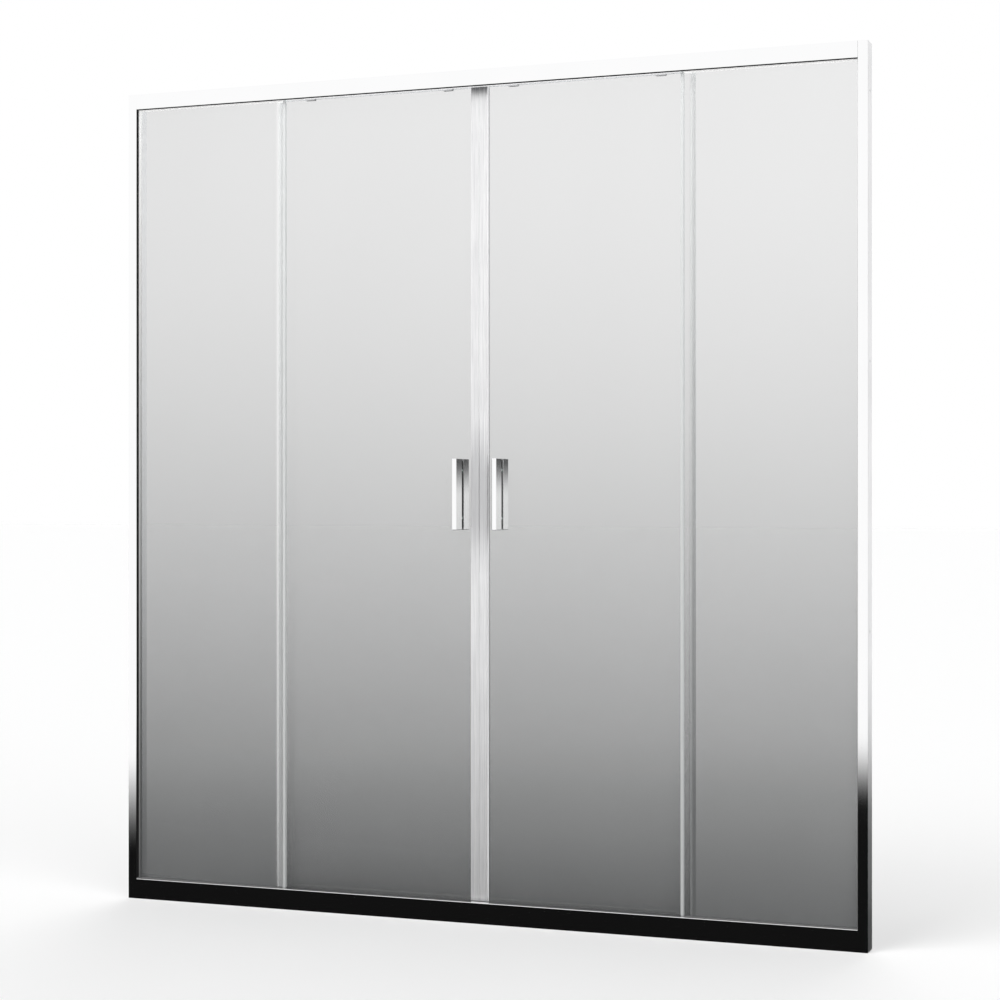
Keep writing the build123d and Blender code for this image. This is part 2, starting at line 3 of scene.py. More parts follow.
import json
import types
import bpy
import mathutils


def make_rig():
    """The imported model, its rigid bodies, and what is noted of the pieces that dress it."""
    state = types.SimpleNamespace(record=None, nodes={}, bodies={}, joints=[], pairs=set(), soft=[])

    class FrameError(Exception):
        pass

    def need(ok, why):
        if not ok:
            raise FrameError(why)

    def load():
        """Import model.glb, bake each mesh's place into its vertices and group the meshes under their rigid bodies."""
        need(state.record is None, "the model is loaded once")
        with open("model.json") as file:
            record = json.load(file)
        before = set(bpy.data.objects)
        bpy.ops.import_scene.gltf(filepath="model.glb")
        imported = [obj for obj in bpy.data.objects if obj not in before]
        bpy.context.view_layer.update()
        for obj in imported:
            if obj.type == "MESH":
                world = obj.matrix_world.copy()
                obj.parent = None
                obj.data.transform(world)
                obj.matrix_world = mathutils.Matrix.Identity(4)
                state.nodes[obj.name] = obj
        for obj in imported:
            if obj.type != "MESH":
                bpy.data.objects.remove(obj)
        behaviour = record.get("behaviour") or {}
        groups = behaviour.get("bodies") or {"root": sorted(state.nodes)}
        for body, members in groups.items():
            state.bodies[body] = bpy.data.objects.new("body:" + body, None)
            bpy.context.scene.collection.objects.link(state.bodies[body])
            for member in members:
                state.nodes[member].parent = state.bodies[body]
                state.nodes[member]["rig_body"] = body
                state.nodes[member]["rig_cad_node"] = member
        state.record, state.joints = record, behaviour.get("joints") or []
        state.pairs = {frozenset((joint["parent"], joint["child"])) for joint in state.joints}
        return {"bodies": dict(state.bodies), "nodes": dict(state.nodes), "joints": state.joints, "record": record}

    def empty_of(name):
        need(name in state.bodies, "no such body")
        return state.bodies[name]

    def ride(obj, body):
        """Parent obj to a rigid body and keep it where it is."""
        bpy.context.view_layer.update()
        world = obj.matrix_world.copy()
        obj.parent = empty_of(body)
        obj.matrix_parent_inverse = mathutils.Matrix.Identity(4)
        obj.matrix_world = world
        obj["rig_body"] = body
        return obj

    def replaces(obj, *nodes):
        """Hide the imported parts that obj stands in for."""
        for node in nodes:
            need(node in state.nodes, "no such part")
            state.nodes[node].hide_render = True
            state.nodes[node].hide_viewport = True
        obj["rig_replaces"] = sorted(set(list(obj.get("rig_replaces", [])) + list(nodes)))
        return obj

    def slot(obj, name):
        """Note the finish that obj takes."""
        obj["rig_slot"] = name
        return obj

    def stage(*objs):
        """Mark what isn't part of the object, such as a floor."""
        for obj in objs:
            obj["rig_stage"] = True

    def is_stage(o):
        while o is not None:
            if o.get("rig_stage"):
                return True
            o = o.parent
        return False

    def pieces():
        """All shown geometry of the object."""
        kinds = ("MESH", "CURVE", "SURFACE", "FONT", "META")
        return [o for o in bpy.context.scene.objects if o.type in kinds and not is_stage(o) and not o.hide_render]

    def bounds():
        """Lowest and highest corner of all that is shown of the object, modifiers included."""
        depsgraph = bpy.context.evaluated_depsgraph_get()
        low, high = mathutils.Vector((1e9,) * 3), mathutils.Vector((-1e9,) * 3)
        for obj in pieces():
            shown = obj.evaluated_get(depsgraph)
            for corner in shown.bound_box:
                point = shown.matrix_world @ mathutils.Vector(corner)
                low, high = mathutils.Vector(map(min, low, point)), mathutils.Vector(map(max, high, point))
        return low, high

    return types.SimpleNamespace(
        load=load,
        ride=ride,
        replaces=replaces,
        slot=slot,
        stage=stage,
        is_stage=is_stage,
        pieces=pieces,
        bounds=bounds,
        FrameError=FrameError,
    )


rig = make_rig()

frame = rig.load()
cad_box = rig.bounds()

import json
import logging
import math
from dataclasses import dataclass
from enum import Enum
from typing import Any, Iterable

import bpy
from mathutils import Vector

logging.basicConfig(level=logging.INFO, format="%(name)s: %(message)s")
log = logging.getLogger("shower_door")

Colour = tuple[float, float, float]
Point = tuple[float, float, float]
Seat = tuple[Point, Point]  # place of a copy, and the way it points
Socket = bpy.types.NodeSocket
Material = bpy.types.Material

BLACK: Colour = (0.0, 0.0, 0.0)
WHITE: Colour = (1.0, 1.0, 1.0)


class Side(Enum):
    """The two doors, by the side of the frame that they open towards."""

    LEFT = -1
    RIGHT = 1

    @property
    def word(self) -> str:
        """Name of the side as the nodes use it."""
        return self.name.lower()

    def x(self, distance: float) -> float:
        """Place along X at a distance from the middle of the frame, on this side."""
        return self.value * distance


class Grain(Enum):
    """The way a drawn or brushed surface runs."""

    ALONG_X = 0
    ALONG_Z = 2
    NONE = 3

    def scales(self, across: float, along: float) -> Point:
        """Noise scales per metre on X, Y and Z."""
        return tuple(along if axis == self.value else across for axis in range(3))


class Tree:
    """A node tree that is filled one node at a time."""

    def __init__(self, tree: bpy.types.NodeTree) -> None:
        """Keep the tree that takes the nodes."""
        self.tree = tree

    def node(
        self,
        kind: str,
        settings: dict[str, Any] | None = None,
        values: dict[str | int, Any] | None = None,
    ) -> bpy.types.Node:
        """Add a node.

        Args:
            kind: Type of the node.
            settings: Its own settings, set first.
            values: Numbers for its sockets, or what is linked to them.

        Returns:
            The node.
        """
        made = self.tree.nodes.new(kind)
        for name, setting in (settings or {}).items():
            setattr(made, name, setting)
        for key, value in (values or {}).items():
            several = value if isinstance(value, list) else [value]
            for one in several:
                if isinstance(one, Term):
                    self.tree.links.new(one.socket, made.inputs[key])
                elif isinstance(one, Socket):
                    self.tree.links.new(one, made.inputs[key])
                else:
                    made.inputs[key].default_value = one
        return made

    def term(self, socket: Socket) -> "Term":
        """Number on a socket, for sums."""
        return Term(self, socket)


class Term:
    """A number made by a node, on which Python's own signs work."""

    def __init__(self, owner: Tree, socket: Socket) -> None:
        """Keep the socket that gives the number, and the tree that it is in."""
        self.owner = owner
        self.socket = socket

    def sum(self, operation: str, first: Any, second: Any = 0.0) -> "Term":
        """Result of a Math node's operation on two numbers or Terms."""
        node = self.owner.node("ShaderNodeMath", {"operation": operation}, {0: first, 1: second})
        return Term(self.owner, node.outputs[0])

    def __add__(self, other: Any) -> "Term":
        """This number and another."""
        return self.sum("ADD", self, other)

    __radd__ = __add__

    def __sub__(self, other: Any) -> "Term":
        """This number less another."""
        return self.sum("SUBTRACT", self, other)

    def __rsub__(self, other: Any) -> "Term":
        """Another number less this one."""
        return self.sum("SUBTRACT", other, self)

    def __mul__(self, other: Any) -> "Term":
        """This number times another."""
        return self.sum("MULTIPLY", self, other)

    __rmul__ = __mul__

    def __truediv__(self, other: Any) -> "Term":
        """This number over another."""
        return self.sum("DIVIDE", self, other)

    def __rtruediv__(self, other: Any) -> "Term":
        """Another number over this one."""
        return self.sum("DIVIDE", other, self)

    def __pow__(self, other: Any) -> "Term":
        """This number to a power."""
        return self.sum("POWER", self, other)

    def __neg__(self) -> "Term":
        """This number with its sign turned."""
        return self.sum("MULTIPLY", self, -1.0)

    def __abs__(self) -> "Term":
        """This number without its sign."""
        return self.sum("ABSOLUTE", self)

    def __lt__(self, other: Any) -> "Term":
        """One where this number is less than another, else nought."""
        return self.sum("LESS_THAN", self, other)

    def __gt__(self, other: Any) -> "Term":
        """One where this number is more than another, else nought."""
        return self.sum("GREATER_THAN", self, other)

    def within(self, low: float = 0.0, high: float = 1.0) -> "Term":
        """This number, kept between two limits."""
        return self.sum("MINIMUM", self.sum("MAXIMUM", self, low), high)

    def swing(self) -> "Term":
        """This noise, about nought instead of about a half."""
        return self - 0.5


class Surface(Tree):
    """A material under construction."""

    def __init__(self, name: str) -> None:
        """Start an empty material.

        Args:
            name: Name of the material.
        """
        self.material = bpy.data.materials.new(name)
        self.material.use_nodes = True
        super().__init__(self.material.node_tree)
        self.tree.nodes.clear()
        self.places = self.node("ShaderNodeTexCoord").outputs

    def axis(self, output: str, axis: int) -> Term:
        """Coordinate 0, 1 or 2 of the surface's place ("Object") or normal ("Normal")."""
        split = self.node("ShaderNodeSeparateXYZ", None, {0: self.places[output]})
        return self.term(split.outputs[axis])

    def noise(self, scales: Point, detail: float = 2.0, rough: float = 0.5) -> Term:
        """Noise over the object, from nought to one.

        Args:
            scales: Scale per metre along X, Y and Z.
            detail: Number of finer layers.
            rough: Strength of the finer layers.

        Returns:
            The noise.
        """
        stretched = self.node(
            "ShaderNodeVectorMath", {"operation": "MULTIPLY"}, {0: self.places["Object"], 1: scales}
        )
        values = {"Vector": stretched.outputs[0], "Scale": 1.0, "Detail": detail, "Roughness": rough}
        return self.term(self.node("ShaderNodeTexNoise", None, values).outputs[0])

    def ease(self, value: Term, low: float, high: float) -> Term:
        """Smooth step from nought at one value to one at another.

        Args:
            value: The number that is followed.
            low: Where the step starts.
            high: Where the step ends.

        Returns:
            The step.
        """
        node = self.node(
            "ShaderNodeMapRange",
            {"interpolation_type": "SMOOTHSTEP"},
            {"Value": value, "From Min": low, "From Max": high},
        )
        return self.term(node.outputs[0])

    def blend(self, share: Any, first: Any, second: Any) -> Socket:
        """Mix of two colours.

        Args:
            share: Share of the second colour.
            first: First colour or socket.
            second: Second colour or socket.

        Returns:
            The mixed colour's socket.
        """
        colours = [(*one, 1.0) if isinstance(one, tuple) else one for one in (first, second)]
        values = {0: share, 6: colours[0], 7: colours[1]}
        return self.node("ShaderNodeMix", {"data_type": "RGBA"}, values).outputs[2]

    def bump(self, height: Term, strength: float, distance: float) -> Socket:
        """Normal of a relief from nought to one: the share of it that shows, and its height in metres."""
        values = {"Strength": strength, "Distance": distance, "Height": height}
        return self.node("ShaderNodeBump", None, values).outputs[0]

    def shader(self, values: dict[str, Any]) -> Socket:
        """Principled shader with the given values or links."""
        fixed = {key: (*one, 1.0) if isinstance(one, tuple) else one for key, one in values.items()}
        return self.node("ShaderNodeBsdfPrincipled", None, fixed).outputs[0]

    def either(self, share: Any, first: Socket, second: Socket) -> Socket:
        """Mix of two shaders, by the share of the second."""
        return self.node("ShaderNodeMixShader", None, {0: share, 1: first, 2: second}).outputs[0]

    def close(self, shader: Socket) -> Material:
        """End the material in a shader."""
        self.node("ShaderNodeOutputMaterial", None, {"Surface": shader})
        return self.material


@dataclass(frozen=True)
class Metal:
    """A bare or plated metal with draw lines and slightly uneven polish."""

    name: str
    colour: Colour
    dull: Colour
    roughness: float
    spread: float
    grain: Grain = Grain.NONE
    across: float = 420.0
    along: float = 9.0
    streaks: float = 0.25
    relief: float = 0.00002
    waves: float = 0.0
    metallic: float = 1.0
    wear: float = 0.35
    patch_scale: float = 7.0
    patch_share: float = 0.6
    fine_scale: float = 1900.0
    fine_share: float = 0.2
    wave_across: float = 14.0
    wave_along: float = 1.6
    smoothest: float = 0.015

    def make(self) -> Material:
        """Build the material."""
        surface = Surface(self.name)
        return surface.close(surface.shader(self.values(surface)))

    def values(self, surface: Surface) -> dict[str, Any]:
        """Values and links of the shader's sockets.

        Args:
            surface: The material under construction.

        Returns:
            The values, by socket.
        """
        lines = surface.noise(self.grain.scales(self.across, self.along), detail=3.0, rough=0.6)
        patches = surface.noise((self.patch_scale,) * 3, detail=3.0, rough=0.55)
        fine = surface.noise((self.fine_scale,) * 3, detail=1.0)
        uneven = lines.swing() * (2.0 * self.streaks) + patches.swing() * self.patch_share
        rough = self.roughness + (patches.swing() + lines.swing()) * self.spread
        relief = lines * (1.0 - self.fine_share) + fine * self.fine_share
        if self.waves:
            swell = surface.noise(self.grain.scales(self.wave_across, self.wave_along), detail=1.0)
            relief = relief + swell * self.waves
        return {
            "Base Color": surface.blend((self.wear + uneven).within(), self.colour, self.dull),
            "Metallic": self.metallic,
            "Roughness": rough.within(self.smoothest),
            "Normal": surface.bump(relief, 1.0, self.relief),
        }


@dataclass(frozen=True)
class Extrusion(Metal):
    """A profile that is plated outside, light satin in its channels with a painted glow above the sill, painted dark
    reflection in the sill's channel, and painted shade on its front lips' returns.
    """

    inside: Colour = (0.86, 0.87, 0.88)
    # painted dark reflection: colour of the sill's channel below the sill top
    inside_sill: Colour = (0.1, 0.1, 0.102)
    inside_rough: float = 0.5
    inside_metallic: float = 0.35
    inside_plated: float = 0.25
    # painted light: strength of the glow of the channels above the sill
    lift: float = 0.3
    inside_near: float = -0.0138
    inside_far: float = 0.0238
    top: float = 1.9485
    sill_top: float = 0.05
    head_bottom: float = 1.9148
    web: float = 0.885
    # painted shade: near-black colour of the front lips' returns and undersides beside the gaskets
    returned: Colour = (0.012, 0.012, 0.013)
    returned_worn: Colour = (0.03, 0.03, 0.03)
    returned_rough: float = 0.6
    sideways: float = 0.7
    downwards: float = -0.35

    def make(self) -> Material:
        """Build the material.

        Returns:
            The material.
        """
        surface = Surface(self.name)
        across, depth, height = (surface.axis("Object", axis) for axis in range(3))
        above_sill = height > self.sill_top
        inside = (depth > self.inside_near) * (depth < self.inside_far) * (height < self.top)
        values = self.values(surface)
        # painted dark reflection in the sill's channel, and painted light glowing in the channels above it
        channel = surface.blend(above_sill, self.inside_sill, self.inside)
        satin = {
            "Base Color": surface.blend(self.inside_plated * above_sill, channel, values["Base Color"]),
            "Metallic": self.inside_metallic,
            "Roughness": self.inside_rough,
            "Emission Color": surface.blend(above_sill, BLACK, self.inside),
            "Emission Strength": self.lift,
        }
        plain = surface.either(inside, surface.shader(values), surface.shader(satin))
        # painted shade: the returns and undersides of the front lips round the opening turn near black
        flanks = abs(surface.axis("Normal", 0)) > self.sideways
        undersides = surface.axis("Normal", 2) < self.downwards
        opening = (abs(across) < self.web) * above_sill * (height < self.head_bottom)
        back = (flanks + undersides).within() * (depth < self.inside_near) * opening
        grain = surface.noise(self.grain.scales(self.across, self.along))
        dark = {
            "Base Color": surface.blend(grain, self.returned, self.returned_worn),
            "Roughness": self.returned_rough,
            "Specular IOR Level": 0.0,
        }
        return surface.close(surface.either(back, plain, surface.shader(dark)))


@dataclass(frozen=True)
class StileMetal(Metal):
    """Satin metal with painted shade under the head rail, a greyer band of painted shade at handle height, and painted
    light on its flanks.
    """

    top: float = 1.915
    # painted shade under the head rail
    shade: Colour = (0.1, 0.1, 0.105)
    shade_reach: float = 0.05
    shade_curve: float = 3.2
    shade_share: float = 0.92
    shade_ragged: float = 0.03
    # painted shade: a greyer band at handle height
    hand_dull: Colour = (0.5, 0.5, 0.51)
    hand_height: float = 0.985
    hand_reach: float = 0.2
    hand_core: float = 0.06
    hand_share: float = 0.65
    hand_ragged: float = 0.16
    ragged_across: float = 420.0
    ragged_along: float = 3.0
    # painted light: glow colour of the stile's flanks
    flank: Colour = (0.3, 0.3, 0.3)
    sideways: float = 0.9

    def values(self, surface: Surface) -> dict[str, Any]:
        """Values and links of the shader's sockets.

        Args:
            surface: The material under construction.

        Returns:
            The values, by socket.
        """
        values = super().values(surface)
        height = surface.axis("Object", 2)
        ragged = surface.noise(self.grain.scales(self.ragged_across, self.ragged_along)).swing()
        # painted shade, darkest at the top under the head rail
        under = surface.ease(height + ragged * self.shade_ragged, self.top - self.shade_reach, self.top)
        # painted shade: a greyer band of the stile at handle height
        away = abs(height - self.hand_height) + ragged * self.hand_ragged
        hand = surface.ease(away, self.hand_reach, self.hand_core)
        band_shaded = surface.blend(hand * self.hand_share, values["Base Color"], self.hand_dull)
        values["Base Color"] = surface.blend(under**self.shade_curve * self.shade_share, band_shaded, self.shade)
        # painted light: the flanks glow, more towards the top and less in the handle band
        sides = abs(surface.axis("Normal", 0)) > self.sideways
        glow = sides * (1.0 - hand) * (height / self.top)
        values["Emission Color"] = surface.blend(glow, BLACK, self.flank)
        values["Emission Strength"] = 1.0
        return values


@dataclass(frozen=True)
class PaneGlass:
    """Clear flat glass with a light grey cast, deepened low down and towards the left by painted shade, and green
    edges.
    """

    name: str
    clear_edge: float = 0.0
    clear_fade: float = 0.012
    clear_share: float = 0.08
    cast: Colour = (0.12, 0.124, 0.125)
    cast_high: float = 0.12
    # painted shade: how deep the cast gets at the bottom
    cast_low: float = 0.76
    curve: float = 2.1
    # painted shade: the cast deepens towards the left (-X)
    lean: float = 0.025
    top: float = 1.93
    bottom: float = 0.03
    cloud_scales: Point = (2.2, 2.2, 1.4)
    cloud_share: float = 0.02
    edge: Colour = (0.32, 0.46, 0.42)
    edge_share: float = 0.72
    facing: float = 0.7
    roughness: float = 0.02
    film_scale: float = 60.0
    film_rough: float = 0.03
    refraction: float = 1.5

    def make(self) -> Material:
        """Build the material.

        Returns:
            The material.
        """
        surface = Surface(self.name)
        across, height = surface.axis("Object", 0), surface.axis("Object", 2)
        # painted shade: the cast deepens downwards and towards the left
        painted_shade_drop = ((self.top - height) / (self.top - self.bottom)).within() ** self.curve
        cloud = surface.noise(self.cloud_scales).swing() * self.cloud_share
        cast = self.cast_high + painted_shade_drop * (self.cast_low - self.cast_high) + cloud - across * self.lean
        if self.clear_edge:
            far = surface.ease(abs(across), self.clear_edge, self.clear_edge + self.clear_fade)
            cast = cast * (self.clear_share + (1.0 - self.clear_share) * far)
        face = abs(surface.axis("Normal", 1)) > self.facing
        film = surface.noise((self.film_scale,) * 3, detail=3.0)
        values = {
            "Base Color": surface.blend(face, self.edge, self.cast),
            "Roughness": self.roughness + film * self.film_rough,
            "Alpha": (cast * face + (1.0 - face) * self.edge_share).within(),
            "IOR": self.refraction,
        }
        return surface.close(surface.shader(values))


@dataclass(frozen=True)
class Plastic:
    """A moulded or extruded plastic or rubber, which may be milky, may glow with painted light, and may darken towards
    the floor with painted shade.
    """

    name: str
    colour: Colour
    shade: Colour
    roughness: float
    grain: Grain = Grain.NONE
    alpha: float = 1.0
    relief: float = 0.00004
    # painted light: strength of the glow in the plastic's own colour
    lift: float = 0.0
    # painted shade: share of colour kept at the floor, and the dark it fades to
    low_share: float = 1.0
    dim: Colour = (0.02, 0.02, 0.02)
    height: float = 1.9
    cloud_across: float = 26.0
    cloud_along: float = 4.0
    cloud_alpha: float = 0.1
    pore_across: float = 900.0
    pore_along: float = 112.5
    pore_share: float = 0.3
    pore_rough: float = 0.16
    fresh: float = 0.2
    smoothest: float = 0.05

    def make(self) -> Material:
        """Build the material.

        Returns:
            The material.
        """
        surface = Surface(self.name)
        clouds = surface.noise(self.grain.scales(self.cloud_across, self.cloud_along), detail=3.0)
        pores = surface.noise(self.grain.scales(self.pore_across, self.pore_along))
        share = clouds * (1.0 - self.pore_share) + pores * self.pore_share - self.fresh
        values = {
            "Base Color": surface.blend(share.within(), self.colour, self.shade),
            "Roughness": (self.roughness + pores.swing() * self.pore_rough).within(self.smoothest),
            "Normal": surface.bump(pores, 1.0, self.relief),
        }
        if self.alpha < 1.0:
            values["Alpha"] = (self.alpha + clouds.swing() * self.cloud_alpha).within()
        # painted shade: the colour darkens towards the floor
        if self.low_share < 1.0:
            unshaded_share = self.low_share + surface.axis("Object", 2) * ((1.0 - self.low_share) / self.height)
            values["Base Color"] = surface.blend(unshaded_share.within(), self.dim, values["Base Color"])
        # painted light: the plastic glows in its own colour
        if self.lift:
            values["Emission Color"] = values["Base Color"]
            values["Emission Strength"] = self.lift
        return surface.close(surface.shader(values))


CHROME: Colour = (0.98, 0.98, 0.982)
CHROME_DULL: Colour = (0.94, 0.942, 0.948)
DRAWN: dict[str, float] = {"across": 600.0, "along": 5.0, "streaks": 0.1, "relief": 0.000004, "waves": 3.0}

FINISHES: tuple[Metal | PaneGlass | Plastic, ...] = (
    Extrusion("rail_chrome", CHROME, CHROME_DULL, 0.05, 0.03, Grain.ALONG_X, **DRAWN),
    Extrusion("jamb_chrome", CHROME, CHROME_DULL, 0.06, 0.04, Grain.ALONG_Z, **DRAWN),
    Metal("cap_chrome", CHROME, (0.8, 0.81, 0.83), 0.08, 0.05, across=160.0, streaks=0.1, relief=0.000006),
    Metal(
        "handle_chrome", CHROME, CHROME_DULL, 0.04, 0.02, Grain.ALONG_Z,
        across=500.0, along=20.0, streaks=0.1, relief=0.000003,
    ),
    Metal(
        "satin_aluminium", (0.9, 0.9, 0.905), (0.68, 0.68, 0.69), 0.36, 0.16, Grain.ALONG_Z,
        across=520.0, streaks=0.8, relief=0.00003,
    ),
    StileMetal(
        "stile_aluminium", (0.96, 0.96, 0.965), (0.74, 0.74, 0.75), 0.4, 0.16, Grain.ALONG_Z,
        streaks=1.0, relief=0.00003, metallic=0.7,
    ),
    Metal("stainless_steel", (0.72, 0.72, 0.71), (0.55, 0.55, 0.54), 0.28, 0.14, streaks=0.4),
    Metal(
        "hanger_steel", (0.82, 0.82, 0.83), (0.66, 0.66, 0.67), 0.46, 0.2,
        across=220.0, streaks=0.7, relief=0.00005, metallic=0.45,
    ),
    Metal(
        "bearing_steel", (0.62, 0.62, 0.63), (0.5, 0.5, 0.51), 0.2, 0.1,
        across=500.0, streaks=0.3, relief=0.00001,
    ),
    PaneGlass("door_pane_glass"),
    PaneGlass("fixed_pane_glass", clear_edge=0.5),
    # lift is painted light and low_share painted shade towards the floor
    Plastic(
        "filler_satin", (0.9, 0.9, 0.91), (0.82, 0.82, 0.83), 0.4, Grain.ALONG_X, relief=0.00001, lift=0.3
    ),
    Plastic(
        "milky_strip", (0.88, 0.89, 0.89), (0.8, 0.82, 0.82), 0.3, Grain.ALONG_Z,
        alpha=0.62, lift=0.09, low_share=0.65,
    ),
    Plastic(
        "milky_seal", (0.97, 0.98, 0.98), (0.9, 0.91, 0.91), 0.32, Grain.ALONG_Z,
        alpha=0.45, lift=0.2, low_share=0.65,
    ),
    Plastic(
        "white_gasket", (0.93, 0.93, 0.93), (0.86, 0.86, 0.85), 0.6, relief=0.00006, lift=0.4, low_share=0.07
    ),
    Plastic("stile_wedge", (0.86, 0.86, 0.87), (0.76, 0.76, 0.77), 0.5, Grain.ALONG_Z, lift=0.17),
    Plastic("dark_gasket", (0.05, 0.05, 0.052), (0.09, 0.09, 0.09), 0.66, Grain.ALONG_Z, relief=0.00006),
    Plastic("white_nylon", (0.86, 0.86, 0.84), (0.76, 0.76, 0.73), 0.5),
    Plastic("grey_nylon", (0.42, 0.42, 0.43), (0.33, 0.33, 0.34), 0.52),
    Plastic("magnet_strip", (0.55, 0.55, 0.56), (0.46, 0.46, 0.47), 0.5, Grain.ALONG_Z),
)


def placed(name: str, data: Any) -> bpy.types.Object:
    """New object at the origin of the scene.

    Args:
        name: Name of the object.
        data: Its mesh, lamp or camera.

    Returns:
        The object.
    """
    made = bpy.data.objects.new(name, data)
    bpy.context.scene.collection.objects.link(made)
    return made


class Wardrobe(dict[str, Material]):
    """All finishes, made once and looked up by name."""

    def __init__(self, finishes: Iterable[Metal | PaneGlass | Plastic]) -> None:
        """Make the material of every finish."""
        super().__init__((finish.name, finish.make()) for finish in finishes)

    def dress(self, node: str, finish: str) -> None:
        """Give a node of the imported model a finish.

        Args:
            node: Name of the node.
            finish: Name of the finish.
        """
        for place in frame["nodes"][node].material_slots:
            place.material = self[finish]
        log.info("%s wears %s", node, finish)


class Grower(Tree):
    """A Geometry Nodes tree that sets one shape at every place it is given."""

    sides: int = 32
    rings: int = 24
    crown: float = 1.55
    crisp_angle: float = 32.0

    def __init__(self, name: str, sizes: tuple[str, ...]) -> None:
        """Start the tree and its named inputs.

        Args:
            name: Name of the tree.
            sizes: Names of its sizes, in metres.
        """
        super().__init__(bpy.data.node_groups.new(name, "GeometryNodeTree"))
        self.sizes = sizes
        self.tree.is_modifier = True
        face = self.tree.interface
        face.new_socket("Places", in_out="INPUT", socket_type="NodeSocketGeometry")
        for size in sizes:
            face.new_socket(size, in_out="INPUT", socket_type="NodeSocketFloat")
        face.new_socket("Finish", in_out="INPUT", socket_type="NodeSocketMaterial")
        face.new_socket("Shape", in_out="OUTPUT", socket_type="NodeSocketGeometry")
        self.entry = self.node("NodeGroupInput").outputs
        self.build()

    def size(self, name: str) -> Term:
        """A named input, for sums."""
        return self.term(self.entry[name])

    def build(self) -> None:
        """Fill the tree. Each kind of piece does it in its own way."""
        raise NotImplementedError

    def vector(self, x: Any, y: Any, z: Any) -> Socket:
        """Vector of three numbers or Terms."""
        return self.node("ShaderNodeCombineXYZ", None, {0: x, 1: y, 2: z}).outputs[0]

    def moved(self, shape: Socket, x: Any, y: Any, z: Any) -> Socket:
        """A shape, moved."""
        values = {"Geometry": shape, "Translation": self.vector(x, y, z)}
        return self.node("GeometryNodeTransform", None, values).outputs[0]

    def rod(self, radius: Term, low: Any, high: Any, sides: int = 0) -> Socket:
        """Solid rod along Z.

        Args:
            radius: Its radius.
            low: Height of its lower end.
            high: Height of its upper end.
            sides: Number of its sides, where it isn't the tree's own.

        Returns:
            The rod's socket.
        """
        values = {"Vertices": sides or self.sides, "Radius": radius, "Depth": high - low}
        made = self.node("GeometryNodeMeshCylinder", None, values).outputs[0]
        return self.moved(made, 0.0, 0.0, (low + high) * 0.5)

    def cut(self, solid: Socket, tools: list[Socket]) -> Socket:
        """A solid less its cutting tools."""
        settings = {"operation": "DIFFERENCE", "solver": "EXACT"}
        return self.node("GeometryNodeMeshBoolean", settings, {0: solid, 1: tools}).outputs[0]

    def joined(self, solids: list[Socket], operation: str = "UNION") -> Socket:
        """Solids joined into one, or what they share."""
        settings = {"operation": operation, "solver": "EXACT"}
        return self.node("GeometryNodeMeshBoolean", settings, {1: solids}).outputs[0]

    def dome(self, radius: Term, height: Term) -> Socket:
        """Disc with a domed top.

        Args:
            radius: Radius of the disc.
            height: Its height in the middle.

        Returns:
            The domed disc's socket.
        """
        crown = radius * self.crown
        values = {"Segments": self.sides, "Rings": self.rings, "Radius": crown}
        ball = self.node("GeometryNodeMeshUVSphere", None, values).outputs[0]
        disc = self.rod(radius, 0.0, height)
        return self.joined([disc, self.moved(ball, 0.0, 0.0, height - crown)], "INTERSECT")

    def finish(self, shape: Socket, seed: int = 0) -> None:
        """Set the shape at every place, turned to the place's aim, and close the tree.

        Args:
            shape: Socket of the shape, which points up along Z.
            seed: Seed of the turn about each place's aim. Nought leaves them unturned.
        """
        roll = self.vector(0.0, 0.0, 0.0)
        if seed:
            values = {2: 0.0, 3: math.tau, "Seed": seed}
            turn = self.node("FunctionNodeRandomValue", {"data_type": "FLOAT"}, values)
            roll = self.vector(0.0, 0.0, turn.outputs[1])
        rolled = self.node("FunctionNodeEulerToRotation", None, {0: roll}).outputs[0]
        aim = self.node("GeometryNodeInputNamedAttribute", {"data_type": "FLOAT_VECTOR"}, {"Name": "aim"})
        turned = self.node(
            "FunctionNodeAlignRotationToVector", {"axis": "Z"}, {"Rotation": rolled, "Vector": aim.outputs[0]}
        )
        values = {"Points": self.entry["Places"], "Instance": shape, "Rotation": turned.outputs[0]}
        placed = self.node("GeometryNodeInstanceOnPoints", None, values)
        real = self.node("GeometryNodeRealizeInstances", None, {0: placed.outputs[0]})
        angle = self.term(self.node("GeometryNodeInputMeshEdgeAngle").outputs[0])
        values = {"Geometry": real.outputs[0], "Shade Smooth": angle < math.radians(self.crisp_angle)}
        crisp = self.node("GeometryNodeSetShadeSmooth", {"domain": "EDGE"}, values)
        values = {"Geometry": crisp.outputs[0], "Material": self.entry["Finish"]}
        painted = self.node("GeometryNodeSetMaterial", None, values)
        self.node("NodeGroupOutput", None, {0: painted.outputs[0]})

    def grow(
        self, name: str, places: list[Seat], sizes: tuple[float, ...], finish: Material
    ) -> bpy.types.Object:
        """Run the tree on a set of places.

        Args:
            name: Name of the new piece.
            places: Place and aim of each copy, in metres.
            sizes: Values of the tree's sizes, in the order of their names.
            finish: Material of the piece.

        Returns:
            The piece, a plain mesh.
        """
        seats = bpy.data.meshes.new(name + "_seats")
        seats.from_pydata([place for place, aim in places], [], [])
        aims = seats.attributes.new("aim", "FLOAT_VECTOR", "POINT")
        for number, (place, aim) in enumerate(places):
            aims.data[number].vector = aim
        seat = placed(name + "_seats", seats)
        modifier = seat.modifiers.new("grow", "NODES")
        modifier.node_group = self.tree
        given = {**dict(zip(self.sizes, sizes)), "Finish": finish}
        for item in self.tree.interface.items_tree:
            if item.in_out == "INPUT" and item.name in given:
                modifier[item.identifier] = given[item.name]
        graph = bpy.context.evaluated_depsgraph_get()
        mesh = bpy.data.meshes.new_from_object(seat.evaluated_get(graph), depsgraph=graph)
        mesh.name = name
        seat.modifiers.remove(modifier)
        bpy.data.objects.remove(seat)
        log.info("%s: %d copies, %d faces", name, len(places), len(mesh.polygons))
        return placed(name, mesh)


